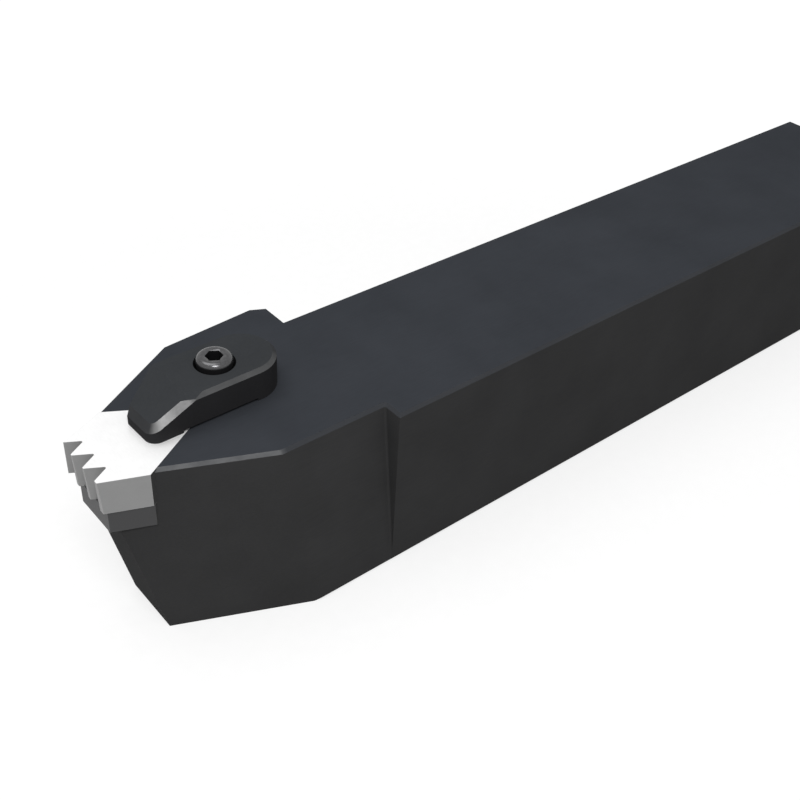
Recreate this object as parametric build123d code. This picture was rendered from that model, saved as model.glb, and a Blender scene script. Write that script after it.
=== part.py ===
from build123d import *
import math
import os

# ------------------------------------------------------------------
# Turning tool holder with a clamped thread chaser insert.
# X runs along the shank from the step behind the head to the rear end,
# Y runs across it, Z is up.  The origin lies on the base.
# ------------------------------------------------------------------

# Shank
SHANK_HEIGHT = 25.0
SHANK_HALF_WIDTH = 12.5
SHANK_LENGTH = 115.1
SHANK_EDGE_CHAMFER = 0.4
SHANK_END_CHAMFER = 1.0

# Head: plan corners of the offset side, then the ground facets.
# A facet is (point on it, heading of its level lines, lean).
HEAD_REACH = 45.0
HEAD_FAR_REAR_Y = 17.3
HEAD_REAR_CORNER = (2.0, 1.0)
HEAD_FAR_FRONT = (-15.4, 16.4)
HEAD_EDGE_CHAMFER = 0.4
STEP_FILLET = 0.3
NEAR_RELIEF = ((0.0, -9.6, SHANK_HEIGHT), 0.0, 6.6)
NEAR_FACET = ((-15.3, -9.6, SHANK_HEIGHT), -24.0, 2.6)
FRONT_FACET = ((-29.4, 0.0, 0.0), -90.0, -12.0)
FAR_FACET = ((-28.1, 9.4, SHANK_HEIGHT), 209.3, -9.1)

# Insert and its shim, seated in a V pocket
VEE_APEX = (-17.42, 2.8)
VEE_HALF_ANGLE = 30.0
VEE_END_X = -21.0
INSERT_THICKNESS = 4.76
SHIM_THICKNESS = 3.18
POCKET_END_GAP = 0.3
SEAT_Z = SHANK_HEIGHT - INSERT_THICKNESS - SHIM_THICKNESS
SHIM_TOP_Z = SEAT_Z + SHIM_THICKNESS
INSERT_FRONT_X = -34.9
INSERT_NEAR_Y = -1.85
INSERT_NEAR_HEADING = -22.4
INSERT_FAR_Y = 6.6
INSERT_FAR_HEADING = 23.7
INSERT_FRONT_LEAN = -3.0
SHIM_FRONT_X = -34.2
SHIM_NEAR_Y = -1.95
SHIM_FAR_Y = 4.7
SHIM_FAR_HEADING = 29.3

# Chaser teeth
TOOTH_PITCH = 2.82
TOOTH_FIRST_GAP_Y = -0.05
TOOTH_GAPS = 3
TOOTH_DEPTH = 2.1
TOOTH_HALF_MOUTH = 1.3
TOOTH_HALF_ROOT = 0.12

# Shim screw, a countersunk screw below the shim's top face
SHIM_SCREW_XY = (-26.5, 2.6)
SHIM_SCREW_RADIUS = 2.0
SHIM_SCREW_HEAD_RADIUS = 3.0
SHIM_SCREW_HEAD_DROP = 0.4
SHIM_SCREW_RIM = 0.25
SHIM_SCREW_REACH = 8.5
SHIM_SCREW_HOLE_DEPTH = 10.5
SHIM_SCREW_SOCKET = 2.5
SHIM_SCREW_SOCKET_DEPTH = 1.5
SHIM_HOLE_GAP = 0.15

# Top clamp
CLAMP_HEIGHT = 4.5
CLAMP_WIDTH = 9.0
CLAMP_NEAR_Y = 0.0
CLAMP_REAR_X = -7.2
CLAMP_TAPER_X = -21.0
CLAMP_NOSE_NEAR_X = -26.9
CLAMP_NOSE_FAR = (-27.0, 5.3)
CLAMP_NOSE_FILLET = 1.5
CLAMP_SLOPE_X = -21.4
CLAMP_SLOPE = 24.0
CLAMP_RELIEF_RISE = 0.4
CLAMP_RELIEF_FRONT_X = -22.6
CLAMP_NOSE_CHAMFER = 0.75
CLAMP_EDGE_CHAMFER = 0.5

# Clamp screw with its captive ring and lifting spring
SCREW_X = -15.3
SCREW_RADIUS = 1.5
SCREW_FIT = 0.05
SCREW_LENGTH = 16.0
SCREW_HOLE_SPARE = 2.0
SCREW_TIP_CHAMFER = 0.4
SCREW_HEAD_RADIUS = 2.3
SCREW_HEAD_HEIGHT = 2.7
SCREW_HEAD_PROUD = 1.1
SCREW_HEAD_FILLET = 0.75
SCREW_HEAD_GAP = 0.3
SCREW_SOCKET = 2.0
SCREW_SOCKET_DEPTH = 1.5
CLAMP_HOLE_FIT = 0.08
WIRE_SIDES = 8
RING_WIRE_RADIUS = 0.3
RING_SUNK = 0.2
RING_BELOW_CLAMP = 0.3
RING_OPENING = 40.0
RING_OPENING_HEADING = 70.0
GROOVE_SIDE_GAP = 0.05
SPRING_WIRE_RADIUS = 0.3
SPRING_RING_GAP = 0.35
SPRING_TURNS = 3.5
SPRING_WELL_GAP = 0.3
SPRING_WELL_DEPTH = 4.5

# Guide pin, pressed into the clamp and sliding in the holder
PIN_FROM_SCREW = 5.8
PIN_RADIUS = 1.5
PIN_LENGTH = 10.0
PIN_PRESSED = 3.0
PIN_PRESS_GAP = 0.01
PIN_SLIDE_GAP = 0.05
PIN_HOLE_DEPTH = 8.0
PIN_CHAMFER = 0.3

# Room beyond a face, so that a cut passes clean through it, and the size
# of a cut that takes away everything on one side of a face
PASS = 5.0
WIDE = 200.0
TOUCH = 0.01

CLAMP_TOP_Z = SHANK_HEIGHT + CLAMP_HEIGHT
CLAMP_UNDER_Z = SHANK_HEIGHT + CLAMP_RELIEF_RISE
CLAMP_MIDDLE_Y = CLAMP_NEAR_Y + CLAMP_WIDTH / 2
SCREW_XY = (SCREW_X, CLAMP_MIDDLE_Y)
PIN_XY = (SCREW_X + PIN_FROM_SCREW, CLAMP_MIDDLE_Y)
SCREW_TOP_Z = CLAMP_TOP_Z + SCREW_HEAD_PROUD
SCREW_SEAT_Z = SCREW_TOP_Z - SCREW_HEAD_HEIGHT
SCREW_TIP_Z = SCREW_SEAT_Z - SCREW_LENGTH
SPRING_FLOOR_Z = SHANK_HEIGHT - SPRING_WELL_DEPTH
RING_Z = CLAMP_UNDER_Z - RING_BELOW_CLAMP - RING_WIRE_RADIUS
RING_RADIUS = SCREW_RADIUS + RING_WIRE_RADIUS - RING_SUNK
SPRING_RADIUS = RING_RADIUS + RING_WIRE_RADIUS + SPRING_RING_GAP + SPRING_WIRE_RADIUS
SPRING_WELL_RADIUS = SPRING_RADIUS + SPRING_WIRE_RADIUS + SPRING_WELL_GAP
CLAMP_RELIEF_REAR_X = SCREW_X + SPRING_WELL_RADIUS
CORNER_ALIGN = (Align.MAX, Align.CENTER, Align.MIN)
BASE_ALIGN = (Align.CENTER, Align.CENTER, Align.MIN)


def prism(corners, bottom_z, top_z):
    """Upright prism over a plan outline."""
    outline = make_face(Polyline(*corners, close=True))
    return extrude(Pos(0, 0, bottom_z) * outline, top_z - bottom_z)


def post(centre, radius, bottom_z, top_z):
    """Upright cylinder between two heights."""
    body = Cylinder(radius, top_z - bottom_z, align=BASE_ALIGN)
    return Pos(centre[0], centre[1], bottom_z) * body


def hex_post(centre, across_flats, bottom_z, top_z):
    """Upright hexagonal prism between two heights."""
    outline = RegularPolygon(across_flats / 2, 6, major_radius=False)
    return extrude(Pos(centre[0], centre[1], bottom_z) * outline, top_z - bottom_z)


def facet_plane(point, heading, lean):
    """Plane of a ground facet, its normal facing out of the metal."""
    turn = math.radians(heading)
    tip = math.radians(lean)
    normal = (
        math.sin(turn) * math.cos(tip),
        -math.cos(turn) * math.cos(tip),
        math.sin(tip),
    )
    along = (math.cos(turn), math.sin(turn), 0)
    return Plane(origin=point, x_dir=along, z_dir=normal)


def beyond(facet):
    """Everything outside one ground facet."""
    return facet_plane(*facet) * Box(WIDE, WIDE, WIDE, align=BASE_ALIGN)


def line_y(start, heading, x):
    """Height in Y of a plan line at x."""
    return start[1] + (x - start[0]) * math.tan(math.radians(heading))


def vee_near_y(x):
    """Y of the pocket's near wall at x."""
    return line_y(VEE_APEX, VEE_HALF_ANGLE, x)


def vee_far_y(x):
    """Y of the pocket's far wall at x."""
    return line_y(VEE_APEX, -VEE_HALF_ANGLE, x)


def meet(start, heading, other_start, other_heading):
    """Crossing point of two plan lines."""
    slope = math.tan(math.radians(heading))
    other_slope = math.tan(math.radians(other_heading))
    rise = other_start[1] - start[1] + slope * start[0] - other_slope * other_start[0]
    x = rise / (slope - other_slope)
    return (x, line_y(start, heading, x))


def seated_outline(front_x, near_y, near_heading, far_y, far_heading):
    """Plan outline of a plate that seats on both walls of the V."""
    near_front = (front_x, near_y)
    far_front = (front_x, far_y)
    near_corner = meet(near_front, near_heading, VEE_APEX, VEE_HALF_ANGLE)
    far_corner = meet(far_front, far_heading, VEE_APEX, -VEE_HALF_ANGLE)
    near_end = (VEE_END_X, vee_near_y(VEE_END_X))
    far_end = (VEE_END_X, vee_far_y(VEE_END_X))
    return [near_front, near_corner, near_end, far_end, far_corner, far_front]


def edges_at(solid, test):
    """Edges whose middle point passes a test."""
    return [edge for edge in solid.edges() if test(edge.center())]


def shank_and_head():
    """The forged bar: square shank and offset head with ground facets."""
    shank = Box(SHANK_LENGTH, 2 * SHANK_HALF_WIDTH, SHANK_HEIGHT,
                align=(Align.MIN, Align.CENTER, Align.MIN))
    head_corners = [
        (-HEAD_REACH, -SHANK_HALF_WIDTH),
        (0, -SHANK_HALF_WIDTH),
        (0, HEAD_FAR_REAR_Y - HEAD_REAR_CORNER[1]),
        (-HEAD_REAR_CORNER[0], HEAD_FAR_REAR_Y),
        HEAD_FAR_FRONT,
        (-HEAD_REACH, HEAD_FAR_FRONT[1]),
    ]
    bar = shank + prism(head_corners, 0, SHANK_HEIGHT)
    for facet in (NEAR_FACET, FRONT_FACET, FAR_FACET):
        bar = bar - beyond(facet)
    return bar - step_relief()


def step_relief():
    """Cut of the near relief, which ends in a small radius at the step."""
    block = Box(2 * HEAD_REACH, WIDE, WIDE, align=CORNER_ALIGN)
    corner = block.edges().filter_by(Axis.Y).group_by(Axis.Z)[0].sort_by(Axis.X)[-1]
    return facet_plane(*NEAR_RELIEF) * fillet(corner, STEP_FILLET)


def chamfered_bar():
    """Bar with its edges broken."""
    bar = shank_and_head()
    rear = edges_at(bar, lambda p: p.X > SHANK_LENGTH - TOUCH)
    bar = chamfer(rear, SHANK_END_CHAMFER)
    long_edges = edges_at(bar, is_long_shank_edge)
    bar = chamfer(long_edges, SHANK_EDGE_CHAMFER)
    head_edges = edges_at(bar, is_near_head_edge)
    return chamfer(head_edges, HEAD_EDGE_CHAMFER)


def is_long_shank_edge(middle):
    """True on the four edges that run along the shank."""
    on_side = abs(abs(middle.Y) - SHANK_HALF_WIDTH) < TOUCH
    return on_side and SHANK_LENGTH / 4 < middle.X < SHANK_LENGTH - TOUCH - SHANK_END_CHAMFER


def is_near_head_edge(middle):
    """True on the top edges of the near facet and the near relief."""
    on_top = middle.Z > SHANK_HEIGHT - TOUCH
    return on_top and middle.X < -STEP_FILLET and middle.Y < -STEP_FILLET


def vee_pocket():
    """Open V pocket for the shim and the insert."""
    end_x = VEE_END_X + POCKET_END_GAP
    corners = [
        (-HEAD_REACH, vee_near_y(-HEAD_REACH)),
        (end_x, vee_near_y(end_x)),
        (end_x, vee_far_y(end_x)),
        (-HEAD_REACH, vee_far_y(-HEAD_REACH)),
    ]
    return prism(corners, SEAT_Z, SHANK_HEIGHT + PASS)


def make_holder():
    """Holder body with the pocket and the holes of the clamp."""
    body = chamfered_bar() - vee_pocket()
    shim_hole_end = SEAT_Z - SHIM_SCREW_HOLE_DEPTH
    body = body - post(SHIM_SCREW_XY, SHIM_SCREW_RADIUS + SCREW_FIT, shim_hole_end, SEAT_Z + PASS)
    body = body - post(SCREW_XY, SCREW_RADIUS + SCREW_FIT, SCREW_TIP_Z - SCREW_HOLE_SPARE, SHANK_HEIGHT)
    body = body - post(SCREW_XY, SPRING_WELL_RADIUS, SPRING_FLOOR_Z, SHANK_HEIGHT + PASS)
    pin_floor = SHANK_HEIGHT - PIN_HOLE_DEPTH
    return body - post(PIN_XY, PIN_RADIUS + PIN_SLIDE_GAP, pin_floor, SHANK_HEIGHT + PASS)


def make_insert():
    """Thread chaser insert: a plain plate with teeth across its front."""
    corners = seated_outline(
        INSERT_FRONT_X, INSERT_NEAR_Y, INSERT_NEAR_HEADING, INSERT_FAR_Y, INSERT_FAR_HEADING
    )
    plate = prism(corners, SHIM_TOP_Z, SHANK_HEIGHT)
    front = ((INSERT_FRONT_X, 0, SHANK_HEIGHT), -90.0, INSERT_FRONT_LEAN)
    plate = plate - beyond(front)
    for index in range(TOOTH_GAPS):
        plate = plate - tooth_gap(TOOTH_FIRST_GAP_Y + index * TOOTH_PITCH)
    return plate


def tooth_gap(middle_y):
    """Space between two chaser teeth."""
    outside_x = INSERT_FRONT_X - PASS
    root_x = INSERT_FRONT_X + TOOTH_DEPTH
    spread = (TOOTH_HALF_MOUTH - TOOTH_HALF_ROOT) / TOOTH_DEPTH
    half_outside = TOOTH_HALF_MOUTH + spread * PASS
    corners = [
        (outside_x, middle_y - half_outside),
        (root_x, middle_y - TOOTH_HALF_ROOT),
        (root_x, middle_y + TOOTH_HALF_ROOT),
        (outside_x, middle_y + half_outside),
    ]
    return prism(corners, SHIM_TOP_Z - PASS, SHANK_HEIGHT + PASS)


def make_shim():
    """Shim under the insert, with a countersunk hole."""
    corners = seated_outline(
        SHIM_FRONT_X, SHIM_NEAR_Y, INSERT_NEAR_HEADING, SHIM_FAR_Y, SHIM_FAR_HEADING
    )
    plate = prism(corners, SEAT_Z, SHIM_TOP_Z)
    return plate - shim_screw_shape(SHIM_HOLE_GAP, SHIM_TOP_Z)


def shim_screw_shape(gap, top_z):
    """Countersunk head and shank; gap widens the straight parts."""
    rim_top = SHIM_TOP_Z - SHIM_SCREW_HEAD_DROP
    cone_top = rim_top - SHIM_SCREW_RIM
    cone_height = SHIM_SCREW_HEAD_RADIUS - SHIM_SCREW_RADIUS
    cone = Cone(SHIM_SCREW_RADIUS, SHIM_SCREW_HEAD_RADIUS, cone_height, align=BASE_ALIGN)
    cone = Pos(SHIM_SCREW_XY[0], SHIM_SCREW_XY[1], cone_top - cone_height) * cone
    rim = post(SHIM_SCREW_XY, SHIM_SCREW_HEAD_RADIUS + gap, cone_top, top_z)
    tip_z = SEAT_Z - SHIM_SCREW_REACH
    shank = post(SHIM_SCREW_XY, SHIM_SCREW_RADIUS + gap, tip_z, cone_top - cone_height + gap)
    return shank + cone + rim


def make_shim_screw():
    """Screw that holds the shim down on the pocket floor."""
    rim_top = SHIM_TOP_Z - SHIM_SCREW_HEAD_DROP
    screw = shim_screw_shape(0, rim_top)
    socket_floor = rim_top - SHIM_SCREW_SOCKET_DEPTH
    return screw - hex_post(SHIM_SCREW_XY, SHIM_SCREW_SOCKET, socket_floor, rim_top + PASS)


def clamp_blank():
    """Plan shape of the clamp with its rounded heel and blunt nose."""
    far_y = CLAMP_NEAR_Y + CLAMP_WIDTH
    heel_radius = CLAMP_WIDTH / 2
    heel_x = CLAMP_REAR_X - heel_radius
    corners = [
        (CLAMP_NOSE_NEAR_X, CLAMP_NEAR_Y),
        (heel_x, CLAMP_NEAR_Y),
        (heel_x, far_y),
        (CLAMP_TAPER_X, far_y),
        CLAMP_NOSE_FAR,
    ]
    blank = prism(corners, SHANK_HEIGHT, CLAMP_TOP_Z)
    nose_edge = blank.edges().filter_by(Axis.Z).sort_by_distance(
        (CLAMP_NOSE_NEAR_X, CLAMP_NEAR_Y, SHANK_HEIGHT + CLAMP_HEIGHT / 2))[0]
    blank = fillet(nose_edge, CLAMP_NOSE_FILLET)
    return blank + post((heel_x, CLAMP_MIDDLE_Y), heel_radius, SHANK_HEIGHT, CLAMP_TOP_Z)


def clamp_slope():
    """Everything above the sloping top of the nose."""
    tilt = math.radians(CLAMP_SLOPE)
    plane = Plane(
        origin=(CLAMP_SLOPE_X, 0, CLAMP_TOP_Z),
        x_dir=(0, 1, 0),
        z_dir=(-math.sin(tilt), 0, math.cos(tilt)),
    )
    return plane * Box(WIDE, WIDE, WIDE, align=BASE_ALIGN)


def is_nose_edge(middle):
    """True on the near edge of the nose's sloping top."""
    on_near_wall = abs(middle.Y - CLAMP_NEAR_Y) < TOUCH
    on_slope = SHANK_HEIGHT + CLAMP_HEIGHT / 2 < middle.Z < CLAMP_TOP_Z - TOUCH
    return on_near_wall and on_slope and middle.X > CLAMP_NOSE_NEAR_X + CLAMP_NOSE_FILLET + TOUCH


def is_clamp_top_edge(middle):
    """True on the outline of the flat top, apart from its crest."""
    return middle.Z > CLAMP_TOP_Z - TOUCH and middle.X > CLAMP_SLOPE_X + CLAMP_NOSE_CHAMFER


def make_clamp():
    """Top clamp that bears on the insert and on the holder."""
    body = clamp_blank() - clamp_slope()
    body = chamfer(edges_at(body, is_nose_edge), CLAMP_NOSE_CHAMFER)
    body = chamfer(edges_at(body, is_clamp_top_edge), CLAMP_EDGE_CHAMFER)
    relief_length = CLAMP_RELIEF_REAR_X - CLAMP_RELIEF_FRONT_X
    relief = Box(relief_length, 4 * CLAMP_WIDTH, CLAMP_RELIEF_RISE, align=CORNER_ALIGN)
    body = body - Pos(CLAMP_RELIEF_REAR_X, 0, SHANK_HEIGHT) * relief
    body = body - post(SCREW_XY, SCREW_RADIUS + CLAMP_HOLE_FIT, SHANK_HEIGHT, CLAMP_TOP_Z)
    head_hole = SCREW_HEAD_RADIUS + SCREW_HEAD_GAP
    body = body - post(SCREW_XY, head_hole, SCREW_SEAT_Z, CLAMP_TOP_Z + PASS)
    pin_top = SHANK_HEIGHT + PIN_PRESSED
    return body - post(PIN_XY, PIN_RADIUS + PIN_PRESS_GAP, SHANK_HEIGHT, pin_top)


def make_clamp_screw():
    """Round-edged socket head screw with a groove for its captive ring."""
    head = post(SCREW_XY, SCREW_HEAD_RADIUS, SCREW_SEAT_Z, SCREW_TOP_Z)
    head = fillet(head.edges().group_by(Axis.Z)[-1], SCREW_HEAD_FILLET)
    shank = post(SCREW_XY, SCREW_RADIUS, SCREW_TIP_Z, SCREW_SEAT_Z)
    shank = chamfer(shank.edges().group_by(Axis.Z)[0], SCREW_TIP_CHAMFER)
    screw = head + shank
    groove_half = RING_WIRE_RADIUS + GROOVE_SIDE_GAP
    groove = post(SCREW_XY, SCREW_RADIUS + PASS, RING_Z - groove_half, RING_Z + groove_half)
    groove = groove - post(SCREW_XY, RING_RADIUS - RING_WIRE_RADIUS, 0, CLAMP_TOP_Z)
    socket_floor = SCREW_TOP_Z - SCREW_SOCKET_DEPTH
    socket = hex_post(SCREW_XY, SCREW_SOCKET, socket_floor, SCREW_TOP_Z + PASS)
    return screw - groove - socket


def make_ring():
    """Open wire ring that keeps the screw in the clamp."""
    wire_start = Plane(origin=(RING_RADIUS, 0, 0), x_dir=(1, 0, 0), z_dir=(0, 1, 0))
    section = wire_start * RegularPolygon(RING_WIRE_RADIUS, WIRE_SIDES)
    ring = revolve(section, Axis.Z, 360 - RING_OPENING)
    return Pos(SCREW_XY[0], SCREW_XY[1], RING_Z) * Rot(0, 0, RING_OPENING_HEADING) * ring


def make_spring():
    """Coil spring that lifts the clamp when the screw is slackened."""
    coil_height = CLAMP_UNDER_Z - SPRING_FLOOR_Z - 2 * SPRING_WIRE_RADIUS
    path = Helix(coil_height / SPRING_TURNS, coil_height, SPRING_RADIUS)
    start = Plane(origin=path @ 0, z_dir=path % 0)
    coil = sweep(start * RegularPolygon(SPRING_WIRE_RADIUS, WIRE_SIDES), path, is_frenet=True)
    base_z = SPRING_FLOOR_Z + SPRING_WIRE_RADIUS
    return Pos(SCREW_XY[0], SCREW_XY[1], base_z) * coil


def make_pin():
    """Guide pin with chamfered ends."""
    top_z = SHANK_HEIGHT + PIN_PRESSED
    pin = post(PIN_XY, PIN_RADIUS, top_z - PIN_LENGTH, top_z)
    ends = pin.edges().group_by(Axis.Z)
    return chamfer(ends[0] + ends[-1], PIN_CHAMFER)


PIECES = {
    "holder_body": make_holder,
    "chaser_insert": make_insert,
    "shim": make_shim,
    "shim_screw": make_shim_screw,
    "clamp": make_clamp,
    "clamp_screw": make_clamp_screw,
    "retaining_ring": make_ring,
    "clamp_spring": make_spring,
    "guide_pin": make_pin,
}

os.makedirs("parts", exist_ok=True)
for name, make in PIECES.items():
    export_step(make(), f"parts/{name}.step")
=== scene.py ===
import math

import bpy
from mathutils import Matrix, Vector


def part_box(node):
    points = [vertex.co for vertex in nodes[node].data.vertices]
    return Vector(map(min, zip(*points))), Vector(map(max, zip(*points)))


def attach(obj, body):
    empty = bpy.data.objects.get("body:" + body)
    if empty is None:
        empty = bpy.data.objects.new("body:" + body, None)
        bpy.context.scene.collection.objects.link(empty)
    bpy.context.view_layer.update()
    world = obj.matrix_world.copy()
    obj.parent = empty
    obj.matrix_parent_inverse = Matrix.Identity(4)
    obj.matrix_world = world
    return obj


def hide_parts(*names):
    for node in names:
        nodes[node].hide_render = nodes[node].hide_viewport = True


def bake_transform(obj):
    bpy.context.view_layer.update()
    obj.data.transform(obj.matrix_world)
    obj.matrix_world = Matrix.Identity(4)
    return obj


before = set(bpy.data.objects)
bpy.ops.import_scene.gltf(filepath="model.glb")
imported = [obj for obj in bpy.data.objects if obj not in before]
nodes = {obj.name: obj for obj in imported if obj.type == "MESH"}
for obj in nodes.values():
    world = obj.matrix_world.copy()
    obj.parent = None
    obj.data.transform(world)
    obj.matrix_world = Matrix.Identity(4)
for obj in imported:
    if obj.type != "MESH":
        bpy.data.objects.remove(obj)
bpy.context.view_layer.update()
MM = 0.001

# ------------------------------------------------------------------
# Camera: the photograph's viewing angle
# ------------------------------------------------------------------
CAMERA_PLACE = Vector((-72.193, -94.158, 112.150)) * MM
CAMERA_RIGHT = Vector((0.77176757, -0.63431234, 0.04497404))
CAMERA_UP = Vector((0.36273076, 0.49721678, 0.78816361))
CAMERA_FORWARD = Vector((0.52230375, 0.59196564, -0.61382039))
CAMERA_LENS = 51.77


def add_camera():
    data = bpy.data.cameras.new("camera")
    data.lens = CAMERA_LENS
    data.sensor_width = 36
    data.clip_start = 0.01
    data.clip_end = 20
    camera = bpy.data.objects.new("camera", data)
    turn = Matrix((CAMERA_RIGHT, CAMERA_UP, -CAMERA_FORWARD)).transposed().to_4x4()
    camera.matrix_world = Matrix.Translation(CAMERA_PLACE) @ turn
    bpy.context.scene.collection.objects.link(camera)
    bpy.context.scene.camera = camera


# ------------------------------------------------------------------
# Material nodes
# ------------------------------------------------------------------
class Graph:
    """Small helper that builds one material's nodes."""

    def __init__(self, name):
        self.material = bpy.data.materials.new(name)
        self.material.use_nodes = True
        self.tree = self.material.node_tree
        self.tree.nodes.clear()
        self.output = self.add("ShaderNodeOutputMaterial")

    def add(self, kind, **settings):
        node = self.tree.nodes.new(kind)
        for key, value in settings.items():
            setattr(node, key, value)
        return node

    def link(self, source, target):
        self.tree.links.new(source, target)

    def feed(self, node, **inputs):
        """Sets or links inputs by name; underscores stand for spaces."""
        for key, value in inputs.items():
            socket = node.inputs[key.replace("_", " ")]
            if isinstance(value, bpy.types.NodeSocket):
                self.link(value, socket)
            else:
                socket.default_value = value
        return node

    def place(self, scale=(1, 1, 1)):
        """Row-frame place in millimetres, stretched by scale."""
        coords = self.add("ShaderNodeTexCoord")
        mapping = self.add("ShaderNodeMapping")
        mapping.inputs["Scale"].default_value = [1000 * s for s in scale]
        self.link(coords.outputs["Object"], mapping.inputs["Vector"])
        return mapping.outputs["Vector"]

    def noise(self, scale, stretch=(1, 1, 1), detail=3.0, rough=0.55):
        node = self.add("ShaderNodeTexNoise")
        self.feed(node, Vector=self.place(stretch), Scale=scale, Detail=detail, Roughness=rough)
        return node.outputs["Fac"]

    def span(self, value, low, high, to_low=0.0, to_high=1.0):
        node = self.add("ShaderNodeMapRange", clamp=True)
        self.link(value, node.inputs["Value"])
        numbers = {"From Min": low, "From Max": high, "To Min": to_low, "To Max": to_high}
        for key, number in numbers.items():
            node.inputs[key].default_value = number
        return node.outputs["Result"]

    def math(self, operation, a, b=None):
        node = self.add("ShaderNodeMath", operation=operation)
        for index, value in enumerate((a, b)):
            if value is None:
                continue
            if isinstance(value, bpy.types.NodeSocket):
                self.link(value, node.inputs[index])
            else:
                node.inputs[index].default_value = value
        return node.outputs["Value"]

    def blend_of(self, a, a_share, b, b_share):
        """a and b added in the given shares."""
        return self.math("ADD", self.math("MULTIPLY", a, a_share), self.math("MULTIPLY", b, b_share))

    def facing(self, axis):
        """How far a face looks along X, Y or Z, from -1 to 1."""
        geometry = self.add("ShaderNodeNewGeometry")
        split = self.add("ShaderNodeSeparateXYZ")
        self.link(geometry.outputs["Normal"], split.inputs["Vector"])
        return split.outputs[axis]

    def along(self, axis):
        """One coordinate of the row frame in millimetres."""
        split = self.add("ShaderNodeSeparateXYZ")
        self.link(self.place(), split.inputs["Vector"])
        return split.outputs[axis]

    def mix(self, factor, a, b, blend="MIX"):
        node = self.add("ShaderNodeMix", data_type="RGBA", blend_type=blend)
        for index, value in ((0, factor), (6, a), (7, b)):
            if isinstance(value, bpy.types.NodeSocket):
                self.link(value, node.inputs[index])
            elif index == 0:
                node.inputs[index].default_value = value
            else:
                node.inputs[index].default_value = (*value, 1.0)
        return node.outputs[2]

    def edges(self, radius_mm):
        """Near 1 within radius of a sharp edge, 0 on open faces."""
        bevel = self.add("ShaderNodeBevel", samples=6)
        bevel.inputs["Radius"].default_value = radius_mm * MM
        geometry = self.add("ShaderNodeNewGeometry")
        dot = self.add("ShaderNodeVectorMath", operation="DOT_PRODUCT")
        self.link(bevel.outputs["Normal"], dot.inputs[0])
        self.link(geometry.outputs["Normal"], dot.inputs[1])
        return self.span(dot.outputs["Value"], 0.999, 0.93)

    def bump(self, height, depth_mm, strength=1.0):
        node = self.add("ShaderNodeBump")
        node.inputs["Strength"].default_value = strength
        node.inputs["Distance"].default_value = depth_mm * MM
        self.link(height, node.inputs["Height"])
        return node.outputs["Normal"]

    def surface(self, colour, roughness, metallic, normal, **fixed):
        shader = self.add("ShaderNodeBsdfPrincipled")
        self.feed(shader, Base_Color=colour, Roughness=roughness, Metallic=metallic, **fixed)
        self.link(normal, shader.inputs["Normal"])
        self.link(shader.outputs["BSDF"], self.output.inputs["Surface"])
        return self.material


def long_chamfers(graph):
    """1 on upward 45 degree chamfers along either long side, less on those across."""
    upward = graph.facing("Z")
    slanted = graph.math("MULTIPLY", graph.span(upward, 0.45, 0.6), graph.span(upward, 0.88, 0.8))
    sideways = graph.math("ABSOLUTE", graph.facing("Y"))
    lengthwise = graph.span(sideways, 0.3, 0.55, ACROSS_SHARE, 1.0)
    return graph.math("MULTIPLY", slanted, lengthwise)


def blackened_steel(name, top, side, rubbed_and_highlight_to, grain_stretch, rubbed_and_highlight_share, rough):
    """Matt chemically blackened steel with painted light and shade: top and side faces get separate
    colours, the top a bluer painted sky light; chamfers get bright metal, partly rubbing and partly a
    painted highlight.
    """
    graph = Graph(name)
    clouds = graph.noise(0.09, detail=5.0)
    grain = graph.noise(2.4, grain_stretch, detail=4.0, rough=0.7)
    specks = graph.noise(5.5, detail=2.0)
    tone = graph.blend_of(clouds, 0.65, grain, 0.35)
    # Top and side faces take separate colours: painted light and shade, with the top tinted bluer as
    # painted sky light.
    base = graph.mix(graph.span(graph.facing("Z"), 0.3, 0.9), side, top)
    dark = graph.mix(1.0, base, (0.8, 0.8, 0.8), "MULTIPLY")
    base = graph.mix(graph.span(tone, 0.34, 0.66), dark, base)
    # Chamfers get bright rubbed metal, its place and strength set as a painted highlight where the
    # lamps glint.
    patches = graph.span(graph.noise(0.5), 0.35, 0.65, 0.75, 1.0)
    share = graph.math("MULTIPLY", patches, rubbed_and_highlight_share(graph))
    rubbed_and_highlight = graph.math("MULTIPLY", long_chamfers(graph), share)
    colour = graph.mix(rubbed_and_highlight, base, rubbed_and_highlight_to)
    streaks = graph.math("ADD", grain, graph.math("MULTIPLY", clouds, 0.6))
    roughness = graph.span(streaks, 0.55, 1.0, rough - 0.07, rough + 0.09)
    roughness = graph.math("SUBTRACT", roughness, graph.math("MULTIPLY", rubbed_and_highlight, 0.2))
    normal = graph.bump(graph.blend_of(grain, 0.7, specks, 0.3), STEEL_BUMP_MM)
    return graph.surface(colour, roughness, rubbed_and_highlight, normal, Specular_IOR_Level=STEEL_GLOSS)


def polished_screw(name, top, side):
    """Screw steel: polished all round the top of the head, black in the socket and down the sides."""
    graph = Graph(name)
    turned = graph.noise(3.0, (1, 1, 3), detail=3.0)
    shine = graph.span(graph.facing("Z"), 0.15, 0.45)
    dark = graph.mix(1.0, top, (0.8, 0.8, 0.8), "MULTIPLY")
    bright = graph.mix(graph.span(turned, 0.35, 0.65), dark, top)
    colour = graph.mix(shine, side, bright)
    roughness = graph.span(turned, 0.3, 0.7, 0.18, 0.26)
    normal = graph.bump(turned, GROUND_BUMP_MM)
    return graph.surface(colour, roughness, shine, normal, Specular_IOR_Level=STEEL_GLOSS)


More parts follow.
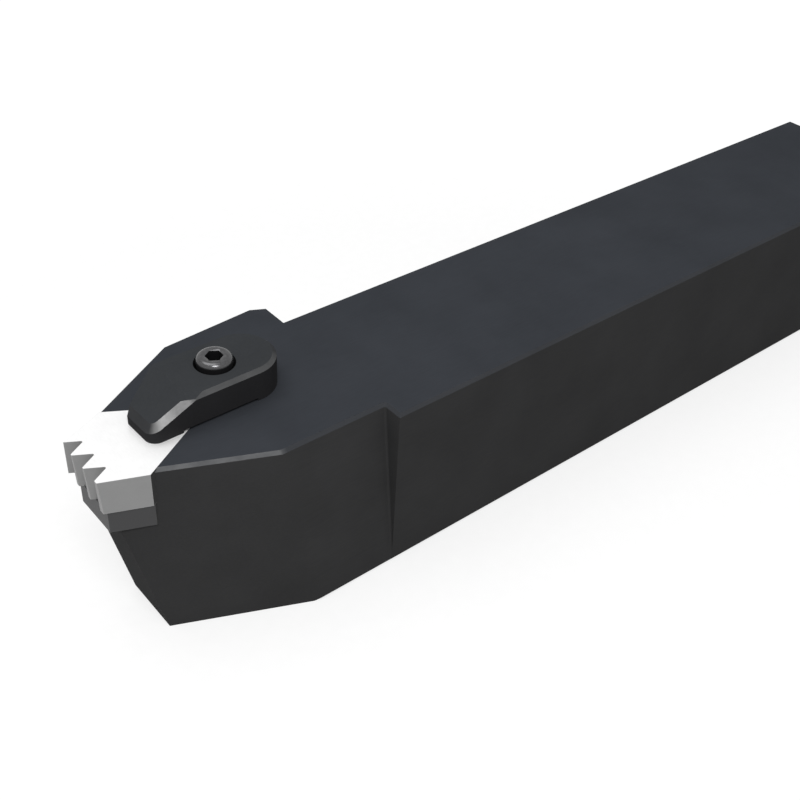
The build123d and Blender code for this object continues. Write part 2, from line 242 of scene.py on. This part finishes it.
def ground_carbide(name, top, side, seat, edge, grain_stretch, metallic, rough):
    """Tungsten carbide: bright ground top; the flanks darker as painted shade and the seat faces near
    black as painted shadow.
    """
    graph = Graph(name)
    lines = graph.noise(4.5, grain_stretch, detail=3.0, rough=0.65)
    clouds = graph.noise(0.4, detail=4.0)
    tone = graph.blend_of(lines, 0.6, clouds, 0.4)
    # Flanks darker than the top and seat faces near black: painted shade and painted shadow.
    painted_shade_flank = graph.mix(graph.span(graph.facing("X"), 0.2, 0.3), side, seat)
    base = graph.mix(graph.span(graph.facing("Z"), 0.5, 0.9), painted_shade_flank, top)
    dark = graph.mix(1.0, base, (0.94, 0.94, 0.94), "MULTIPLY")
    base = graph.mix(graph.span(tone, 0.36, 0.64), dark, base)
    colour = graph.mix(graph.math("MULTIPLY", graph.edges(0.07), 0.45), base, edge)
    roughness = graph.span(lines, 0.3, 0.7, rough - 0.05, rough + 0.07)
    normal = graph.bump(lines, GROUND_BUMP_MM)
    return graph.surface(colour, roughness, metallic, normal, Specular_IOR_Level=CARBIDE_GLOSS)


def drawn_steel(name, light, dark, metallic=0.9, rough=0.32):
    """Plain drawn or ground steel of small hidden parts."""
    graph = Graph(name)
    lines = graph.noise(3.0, (1, 1, 0.25), detail=3.0)
    base = graph.mix(graph.span(lines, 0.35, 0.65), dark, light)
    roughness = graph.span(lines, 0.3, 0.7, rough - 0.06, rough + 0.1)
    return graph.surface(base, roughness, metallic, graph.bump(lines, GROUND_BUMP_MM))


def clamp_wear_and_highlight(graph):
    """Rubbed metal and painted highlight on the clamp's chamfers, strongest along its nose."""
    return graph.span(graph.along("X"), CLAMP_WEAR_HIGHLIGHT_END_MM, CLAMP_WEAR_HIGHLIGHT_START_MM, 0.32, 0.9)


def head_wear_and_highlight(graph):
    """Rubbed metal and painted highlight on the edges at the front of the head, hardly on the other
    edges.
    """
    return graph.span(graph.along("X"), HEAD_WEAR_HIGHLIGHT_END_MM, HEAD_WEAR_HIGHLIGHT_START_MM, 0.03, 0.38)


# Where the chamfers' rubbed metal and painted highlight fade in and out along X, in millimetres.
CLAMP_WEAR_HIGHLIGHT_START_MM = -21.5
CLAMP_WEAR_HIGHLIGHT_END_MM = -20.5
HEAD_WEAR_HIGHLIGHT_START_MM = -15.5
HEAD_WEAR_HIGHLIGHT_END_MM = -14.5
ACROSS_SHARE = 0.12
STEEL_GLOSS = 0.004
STEEL_BUMP_MM = 0.012
CARBIDE_GLOSS = 0.3
GROUND_BUMP_MM = 0.004

# Top and side colours paint light and shade: tops tinted bluer as painted sky light, holder sides
# raised as painted fill light, clamp sides darkened as painted shade.
STEEL_TOP_PAINTED_SKY_TINT = (0.045, 0.049, 0.057)
STEEL_SIDE_PAINTED_FILL = (0.06, 0.06, 0.061)
CLAMP_TOP_PAINTED_SKY_TINT = (0.046, 0.049, 0.053)
CLAMP_SIDE_PAINTED_SHADE = (0.032, 0.032, 0.034)
# Colour of the chamfers' rubbed metal, partly a painted highlight.
RUBBED_STEEL_AND_HIGHLIGHT = (0.2, 0.2, 0.2)

holder_steel = blackened_steel(
    "holder_steel", STEEL_TOP_PAINTED_SKY_TINT, STEEL_SIDE_PAINTED_FILL, RUBBED_STEEL_AND_HIGHLIGHT, (0.12, 2.2, 2.2), head_wear_and_highlight, 0.6
)
clamp_steel = blackened_steel(
    "clamp_steel", CLAMP_TOP_PAINTED_SKY_TINT, CLAMP_SIDE_PAINTED_SHADE, RUBBED_STEEL_AND_HIGHLIGHT, (1, 1, 1), clamp_wear_and_highlight, 0.55
)
screw_steel = polished_screw("screw_steel", (0.1, 0.1, 0.103), (0.012, 0.012, 0.013))
# Side colour is painted shade, seat colour painted shadow.
insert_carbide = ground_carbide(
    "insert_carbide",
    top=(0.93, 0.93, 0.93),
    side=(0.36, 0.36, 0.36),
    seat=(0.05, 0.05, 0.05),
    edge=(0.8, 0.8, 0.8),
    grain_stretch=(1.6, 0.2, 1.6),
    metallic=0.15,
    rough=0.4,
)
# Side colour is painted shade, seat colour painted shadow.
shim_carbide = ground_carbide(
    "shim_carbide",
    top=(0.09, 0.09, 0.092),
    side=(0.066, 0.066, 0.068),
    seat=(0.04, 0.04, 0.04),
    edge=(0.12, 0.12, 0.12),
    grain_stretch=(1, 1, 1),
    metallic=0.2,
    rough=0.5,
)
spring_steel = drawn_steel("spring_steel", (0.42, 0.42, 0.43), (0.3, 0.3, 0.31))
pin_steel = drawn_steel("pin_steel", (0.55, 0.55, 0.56), (0.45, 0.45, 0.46))


def dress(node, material):
    """Gives a CAD node its material."""
    obj = nodes[node]
    obj.data.materials.clear()
    obj.data.materials.append(material)


dress("holder_body", holder_steel)
dress("clamp", clamp_steel)
dress("clamp_screw", screw_steel)
dress("shim_screw", screw_steel)
dress("chaser_insert", insert_carbide)
dress("shim", shim_carbide)
dress("clamp_spring", spring_steel)
dress("retaining_ring", spring_steel)
dress("guide_pin", pin_steel)


# ------------------------------------------------------------------
# Clamp screw with its thread and socket
# ------------------------------------------------------------------
SCREW_SIDES = 48
THREAD_PITCH = 0.5
THREAD_DEPTH = 0.3
THREAD_STEPS = 10
SCREW_HEAD_HEIGHT = 2.7
SCREW_RADIUS = 1.5
SCREW_GROOVE = (24.45, 25.15)
SCREW_GROOVE_RADIUS = 1.3
SCREW_RIM = 0.75
RIM_STEPS = 8
SCREW_SOCKET = 2.0
SCREW_SOCKET_DEPTH = 1.5


def box_mm(node):
    low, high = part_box(node)
    return [value / MM for value in low], [value / MM for value in high]


def loft(name, rings, centre, material):
    """Mesh from rings of (radius of angle, z of angle), closed at both ends."""
    vertices = []
    for radius_at, z_at in rings:
        for side in range(SCREW_SIDES):
            angle = 2 * math.pi * side / SCREW_SIDES
            radius = radius_at(angle)
            vertices.append(
                (
                    (centre[0] + radius * math.cos(angle)) * MM,
                    (centre[1] + radius * math.sin(angle)) * MM,
                    z_at(angle) * MM,
                )
            )
    faces = []
    for ring in range(len(rings) - 1):
        for side in range(SCREW_SIDES):
            a = ring * SCREW_SIDES + side
            b = ring * SCREW_SIDES + (side + 1) % SCREW_SIDES
            faces.append((a, b, b + SCREW_SIDES, a + SCREW_SIDES))
    faces.append(tuple(reversed(range(SCREW_SIDES))))
    faces.append(tuple(range((len(rings) - 1) * SCREW_SIDES, len(rings) * SCREW_SIDES)))
    mesh = bpy.data.meshes.new(name)
    mesh.from_pydata(vertices, [], faces)
    mesh.materials.append(material)
    obj = bpy.data.objects.new(name, mesh)
    bpy.context.scene.collection.objects.link(obj)
    return obj


def level(radius, z):
    return (lambda angle: radius, lambda angle: z)


def hexagon(half_flats, z):
    def radius_at(angle):
        turn = (angle - math.pi / 6) % (math.pi / 3) - math.pi / 6
        return half_flats / math.cos(turn)

    return (radius_at, lambda angle: z)


def thread_ring(major, z, fade):
    """Ring of a right-hand 60 degree thread at one height."""

    def radius_at(angle):
        phase = (z / THREAD_PITCH - angle / (2 * math.pi)) % 1.0
        wave = abs(2 * phase - 1)
        cut = min(max((wave - 0.12) / 0.76, 0.0), 1.0)
        return major - THREAD_DEPTH * fade * cut

    return (radius_at, lambda angle: z)


def add_clamp_screw():
    low, high = box_mm("clamp_screw")
    centre = ((low[0] + high[0]) / 2, (low[1] + high[1]) / 2)
    head_radius = (high[0] - low[0]) / 2
    seat = high[2] - SCREW_HEAD_HEIGHT
    major = SCREW_RADIUS - 0.01
    root = major - THREAD_DEPTH
    groove_low, groove_high = SCREW_GROOVE
    rings = [level(root - 0.1, low[2]), level(root, low[2] + 0.06)]
    thread_end = groove_low - 0.4
    count = int((thread_end - low[2] - 0.3) / THREAD_PITCH * THREAD_STEPS)
    for index in range(count + 1):
        z = low[2] + 0.15 + (thread_end - low[2] - 0.15) * index / count
        rings.append(thread_ring(major, z, min(1.0, (thread_end - z) / 0.8)))
    rings += [level(major, thread_end + 0.05), level(major, groove_low)]
    rings += [level(SCREW_GROOVE_RADIUS, groove_low), level(SCREW_GROOVE_RADIUS, groove_high)]
    rings += [level(major, groove_high), level(major, seat)]
    rings += [level(head_radius - 0.12, seat), level(head_radius, seat + 0.12)]
    for index in range(RIM_STEPS + 1):
        turn = math.pi / 2 * index / RIM_STEPS
        radius = head_radius - SCREW_RIM + SCREW_RIM * math.cos(turn)
        rings.append(level(radius, high[2] - SCREW_RIM + SCREW_RIM * math.sin(turn)))
    half = SCREW_SOCKET / 2
    rings += [level(half / math.cos(math.pi / 6) + 0.12, high[2]), hexagon(half, high[2] - 0.1)]
    socket_floor = high[2] - SCREW_SOCKET_DEPTH
    rings += [hexagon(half, socket_floor), level(0.2, socket_floor - 0.3)]
    screw = loft("clamp_screw_threaded", rings, centre, screw_steel)
    smooth_by_angle(screw)
    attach(screw, "screw")
    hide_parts("clamp_screw")


def smooth_by_angle(obj, degrees=32):
    mesh = obj.data
    mesh.shade_smooth()
    mesh.set_sharp_from_angle(angle=math.radians(degrees))


add_clamp_screw()


# ------------------------------------------------------------------
# Clamp spring coil, built at the length of the CAD spring
# ------------------------------------------------------------------
SPRING_TURNS = 3.5
SPRING_WIRE = 0.3
SPRING_STEPS = 32
SPRING_SIDES = 10
SPRING_CLOSED = 0.75


def add_spring():
    """Coil with closed ends, as a tube about its helix."""
    low, high = box_mm("clamp_spring")
    centre = Vector(((low[0] + high[0]) / 2, (low[1] + high[1]) / 2, 0))
    radius = (high[0] - low[0]) / 2 - SPRING_WIRE
    bottom, top = low[2] + SPRING_WIRE, high[2] - SPRING_WIRE
    total = SPRING_TURNS + SPRING_CLOSED
    count = int(total * SPRING_STEPS)
    closed_share = SPRING_CLOSED / 2 / total
    path = []
    for index in range(count + 1):
        share = index / count
        rise = min(max((share - closed_share) / (1 - 2 * closed_share), 0.0), 1.0)
        angle = 2 * math.pi * total * share
        height = bottom + (top - bottom) * rise
        path.append(centre + Vector((radius * math.cos(angle), radius * math.sin(angle), height)))
    vertices, faces = [], []
    for index, point in enumerate(path):
        ahead = path[min(index + 1, count)] - path[max(index - 1, 0)]
        ahead.normalize()
        outward = (point - centre) * Vector((1, 1, 0))
        outward.normalize()
        up = ahead.cross(outward).normalized()
        for side in range(SPRING_SIDES):
            angle = 2 * math.pi * side / SPRING_SIDES
            spot = point + (outward * math.cos(angle) + up * math.sin(angle)) * SPRING_WIRE
            spot.z = min(max(spot.z, low[2]), high[2])
            vertices.append(spot * MM)
    for index in range(count):
        for side in range(SPRING_SIDES):
            a = index * SPRING_SIDES + side
            b = index * SPRING_SIDES + (side + 1) % SPRING_SIDES
            faces.append((a, b, b + SPRING_SIDES, a + SPRING_SIDES))
    faces.append(tuple(reversed(range(SPRING_SIDES))))
    faces.append(tuple(range(count * SPRING_SIDES, (count + 1) * SPRING_SIDES)))
    mesh = bpy.data.meshes.new("clamp_spring_coil")
    mesh.from_pydata(vertices, [], faces)
    mesh.materials.append(spring_steel)
    obj = bpy.data.objects.new("clamp_spring_coil", mesh)
    bpy.context.scene.collection.objects.link(obj)
    smooth_by_angle(obj, 50)
    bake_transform(obj)
    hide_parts("clamp_spring")


add_spring()


# ------------------------------------------------------------------
# Floor, background and light
# ------------------------------------------------------------------
def seen_rays(graph):
    """1 for rays that should see the plain white background."""
    path = graph.add("ShaderNodeLightPath")
    either = graph.math("MAXIMUM", path.outputs["Is Camera Ray"], path.outputs["Is Glossy Ray"])
    return graph.math("MAXIMUM", either, path.outputs["Is Transmission Ray"])


def add_floor():
    graph = Graph("floor_paper")
    fibres = graph.noise(0.6, detail=4.0)
    colour = graph.mix(graph.span(fibres, 0.3, 0.7), FLOOR_DARK, FLOOR_PALE)
    shader = graph.add("ShaderNodeBsdfDiffuse")
    graph.feed(shader, Color=colour)
    glow = graph.add("ShaderNodeEmission")
    reach = graph.add("ShaderNodeVectorMath", operation="LENGTH")
    graph.link(graph.place(), reach.inputs[0])
    strength = graph.span(reach.outputs["Value"], *FLOOR_GLOW_MM, FLOOR_GLOW, FLOOR_GLOW_FAR)
    seen = graph.math("MULTIPLY", seen_rays(graph), strength)
    graph.feed(glow, Color=(1, 1, 1, 1), Strength=seen)
    both = graph.add("ShaderNodeAddShader")
    graph.link(shader.outputs["BSDF"], both.inputs[0])
    graph.link(glow.outputs["Emission"], both.inputs[1])
    graph.link(both.outputs["Shader"], graph.output.inputs["Surface"])
    bpy.ops.mesh.primitive_circle_add(
        vertices=64, radius=FLOOR_RADIUS, fill_type="NGON", location=(0, 0, FLOOR_HEIGHT)
    )
    floor = bpy.context.object
    floor.name = "floor"
    floor.data.materials.append(graph.material)


def add_world():
    world = bpy.data.worlds.new("studio")
    bpy.context.scene.world = world
    world.use_nodes = True
    tree = world.node_tree
    tree.nodes.clear()
    output = tree.nodes.new("ShaderNodeOutputWorld")
    shade = tree.nodes.new("ShaderNodeBackground")
    path = tree.nodes.new("ShaderNodeLightPath")
    first = tree.nodes.new("ShaderNodeMath")
    first.operation = "MAXIMUM"
    second = tree.nodes.new("ShaderNodeMath")
    second.operation = "MAXIMUM"
    level = tree.nodes.new("ShaderNodeMapRange")
    level.inputs["To Min"].default_value = WORLD_FILL
    level.inputs["To Max"].default_value = 1.0
    tree.links.new(path.outputs["Is Camera Ray"], first.inputs[0])
    tree.links.new(path.outputs["Is Glossy Ray"], first.inputs[1])
    tree.links.new(first.outputs["Value"], second.inputs[0])
    tree.links.new(path.outputs["Is Transmission Ray"], second.inputs[1])
    tree.links.new(second.outputs["Value"], level.inputs["Value"])
    tree.links.new(level.outputs["Result"], shade.inputs["Strength"])
    tree.links.new(shade.outputs["Background"], output.inputs["Surface"])
    shade.inputs["Color"].default_value = (1, 1, 1, 1)


def add_light(name, place, aim, size, power):
    data = bpy.data.lights.new(name, "AREA")
    data.shape = "DISK"
    data.size = size
    data.energy = power
    lamp = bpy.data.objects.new(name, data)
    lamp.location = place
    lamp.rotation_mode = "QUATERNION"
    lamp.rotation_quaternion = (Vector(aim) - Vector(place)).to_track_quat("-Z", "Y")
    bpy.context.scene.collection.objects.link(lamp)


WORLD_FILL = 0.4
FLOOR_DARK = (0.29, 0.29, 0.29)
FLOOR_PALE = (0.31, 0.31, 0.31)
FLOOR_GLOW = 0.72
FLOOR_HEIGHT = -0.05 * MM
FLOOR_RADIUS = 3.0
FLOOR_GLOW_FAR = 0.93
FLOOR_GLOW_MM = (80.0, 400.0)

add_floor()
add_world()
add_light("key", place=(-0.15, 0.25, 0.9), aim=(-0.01, 0.0, 0.02), size=0.7, power=2.8)
add_light("front", place=(-0.111, -0.184, 0.367), aim=(-0.015, 0.0, 0.025), size=0.16, power=0.78)
add_camera()
bpy.context.scene.view_settings.view_transform = "Standard"
